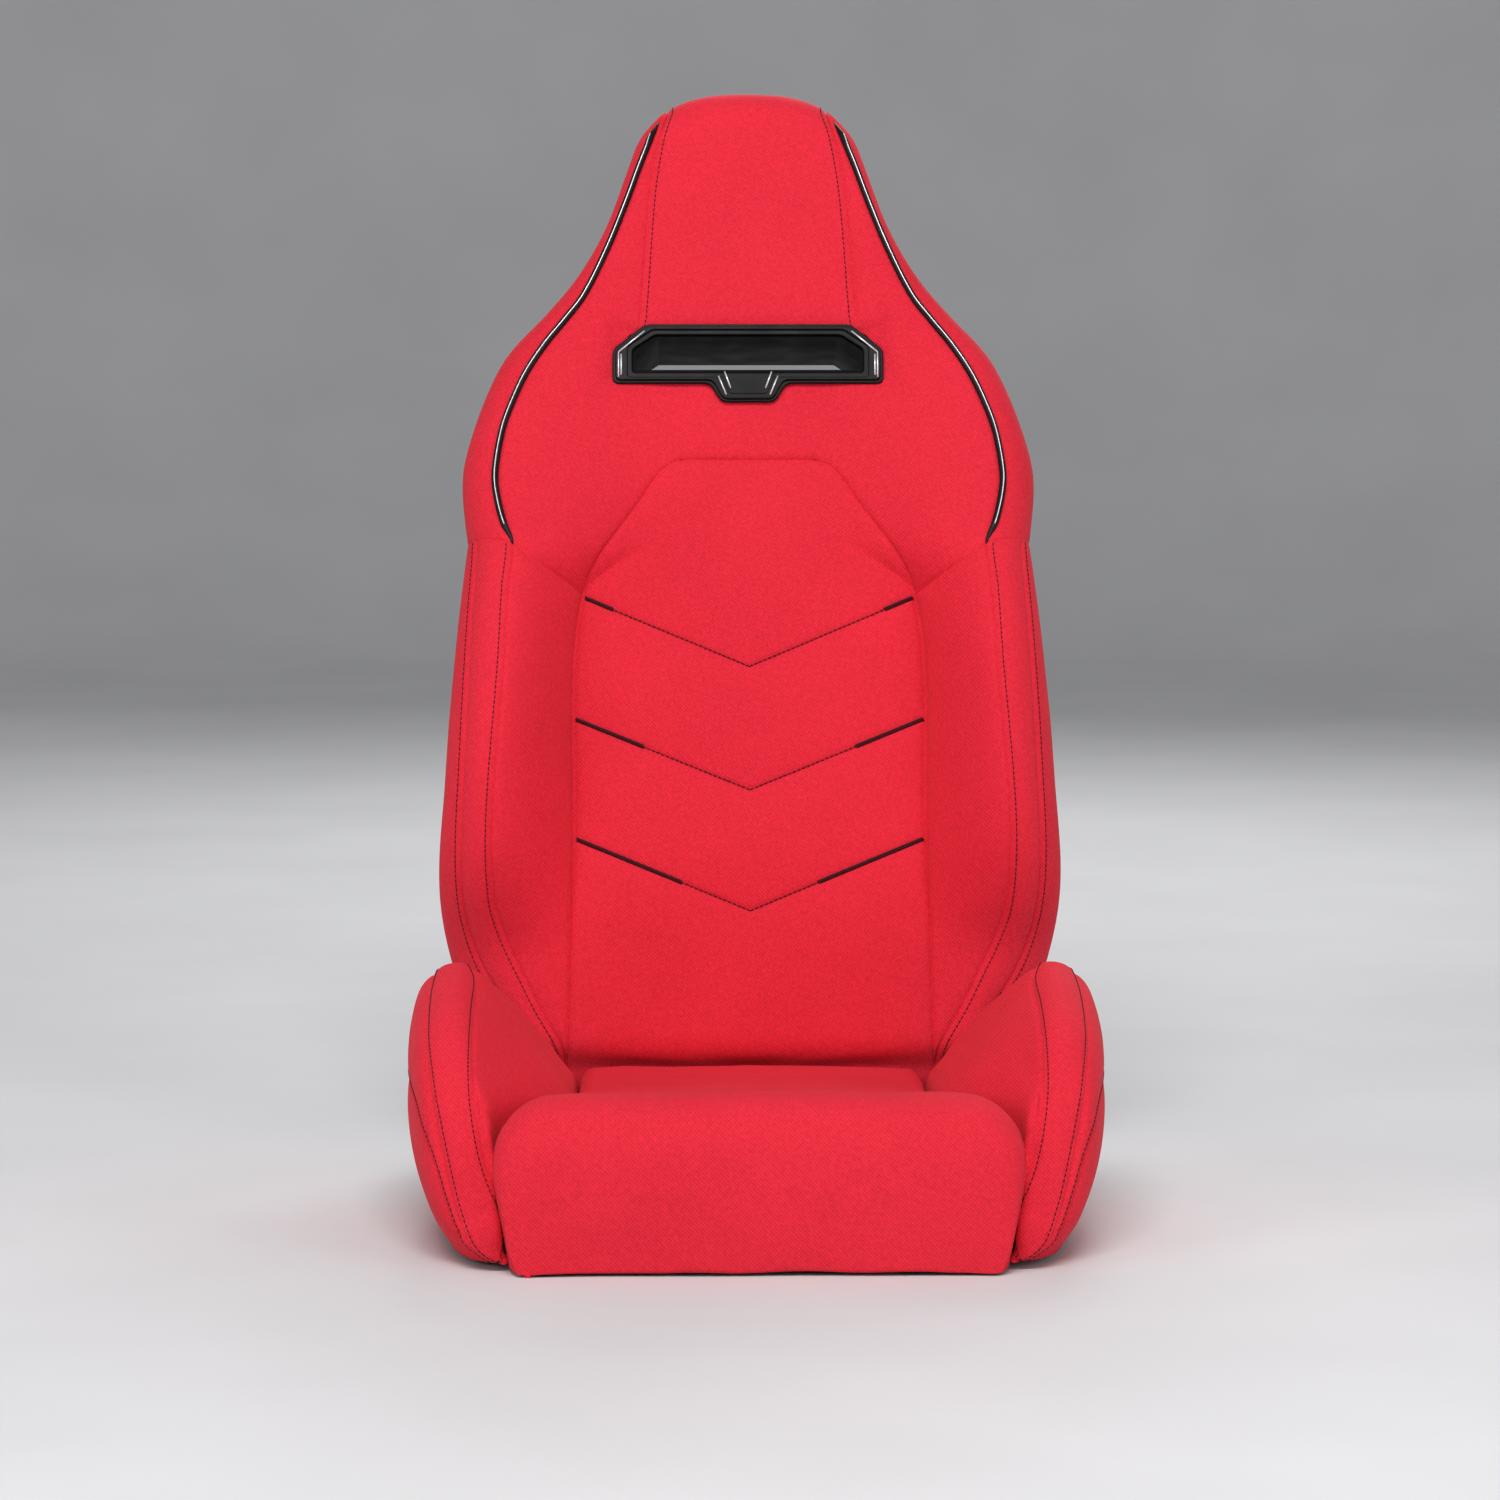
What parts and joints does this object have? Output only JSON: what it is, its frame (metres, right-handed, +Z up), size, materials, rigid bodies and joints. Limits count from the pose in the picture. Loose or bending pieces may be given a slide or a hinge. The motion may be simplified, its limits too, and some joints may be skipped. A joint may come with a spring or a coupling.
{
  "type": "reclining sport seat",
  "caption": "Reclining sport seat with a fixed headrest, shoulder belt slot, deep side bolsters, thigh roll and twin release levers on four floor bolts.",
  "frame": {"origin": "centre of the four floor bolts, on the plane under the mounting channels", "axes": "+Z up, the seat faces -Y, +X is the sitter's left"},
  "size_m": [0.566, 0.7569, 0.9399],
  "materials": {
    "red_fabric": "fine twill weave over foam",
    "black_piping": "satin piping cord with a silver line",
    "black_plastic": "grained moulding",
    "gloss_black": "satin gloss moulding",
    "bright_trim": "bright line",
    "black_steel": "semi-gloss powder coat",
    "zinc_steel": "zinc plated",
    "brass_bush": "turned"
  },
  "bodies": {
    "base": {"base_frame": "black_steel", "mount_channel_left": "black_steel", "mount_channel_right": "black_steel", "mount_weld_nuts": "zinc_steel", "seat_suspension_wires": "zinc_steel", "seat_suspension_hooks": "black_steel", "cushion_pad": "red_fabric", "base_bolster_left": "red_fabric", "base_bolster_right": "red_fabric", "recliner_plate_left": "black_steel", "recliner_plate_right": "black_steel", "recliner_plate_bolts": "zinc_steel", "pivot_bolt_left": "zinc_steel", "pivot_bolt_right": "zinc_steel", "recliner_cover_left": "black_plastic", "recliner_cover_right": "black_plastic", "cover_screws": "zinc_steel", "recline_spring_left": "zinc_steel", "recline_spring_right": "zinc_steel", "rod_bush_left": "black_plastic", "rod_bush_right": "black_plastic"},
    "backrest": {"back_frame": "black_steel", "head_loop": "black_steel", "recliner_arm_left": "zinc_steel", "recliner_arm_right": "zinc_steel", "recliner_arm_bolts": "zinc_steel", "pivot_bush_left": "brass_bush", "pivot_bush_right": "brass_bush", "back_suspension_wires": "zinc_steel", "back_suspension_hooks": "black_steel", "back_center_pad": "red_fabric", "back_bolster_left": "red_fabric", "back_bolster_right": "red_fabric", "back_upper_pad": "red_fabric", "back_rear_shell": "black_plastic", "rear_shell_screws": "zinc_steel", "slot_liner": "gloss_black", "slot_bezel_front": "gloss_black", "slot_bezel_rear": "gloss_black", "slot_bezel_trims": "bright_trim", "shoulder_piping_left": "black_piping", "shoulder_piping_right": "black_piping"},
    "release_lever": {"sync_rod": "zinc_steel", "release_lever_left": "black_steel", "release_lever_right": "black_steel", "lever_grip_left": "black_plastic", "lever_grip_right": "black_plastic", "latch_left": "zinc_steel", "latch_right": "zinc_steel"}
  },
  "joints": [
    {"name": "backrest_recline", "type": "hinge", "parent": "base", "child": "backrest", "pos_m": [0, 0.253, 0.112], "axis": [1, 0, 0], "range_deg": [-56, 40], "deforming": ["recline_spring_left", "recline_spring_right"]},
    {"name": "recliner_release", "type": "hinge", "parent": "base", "child": "release_lever", "pos_m": [0, 0.2, 0.052], "axis": [-1, 0, 0], "range_deg": [0, 14], "stiffness_Nm_per_rad": 4, "springref_deg": -20.05}
  ]
}
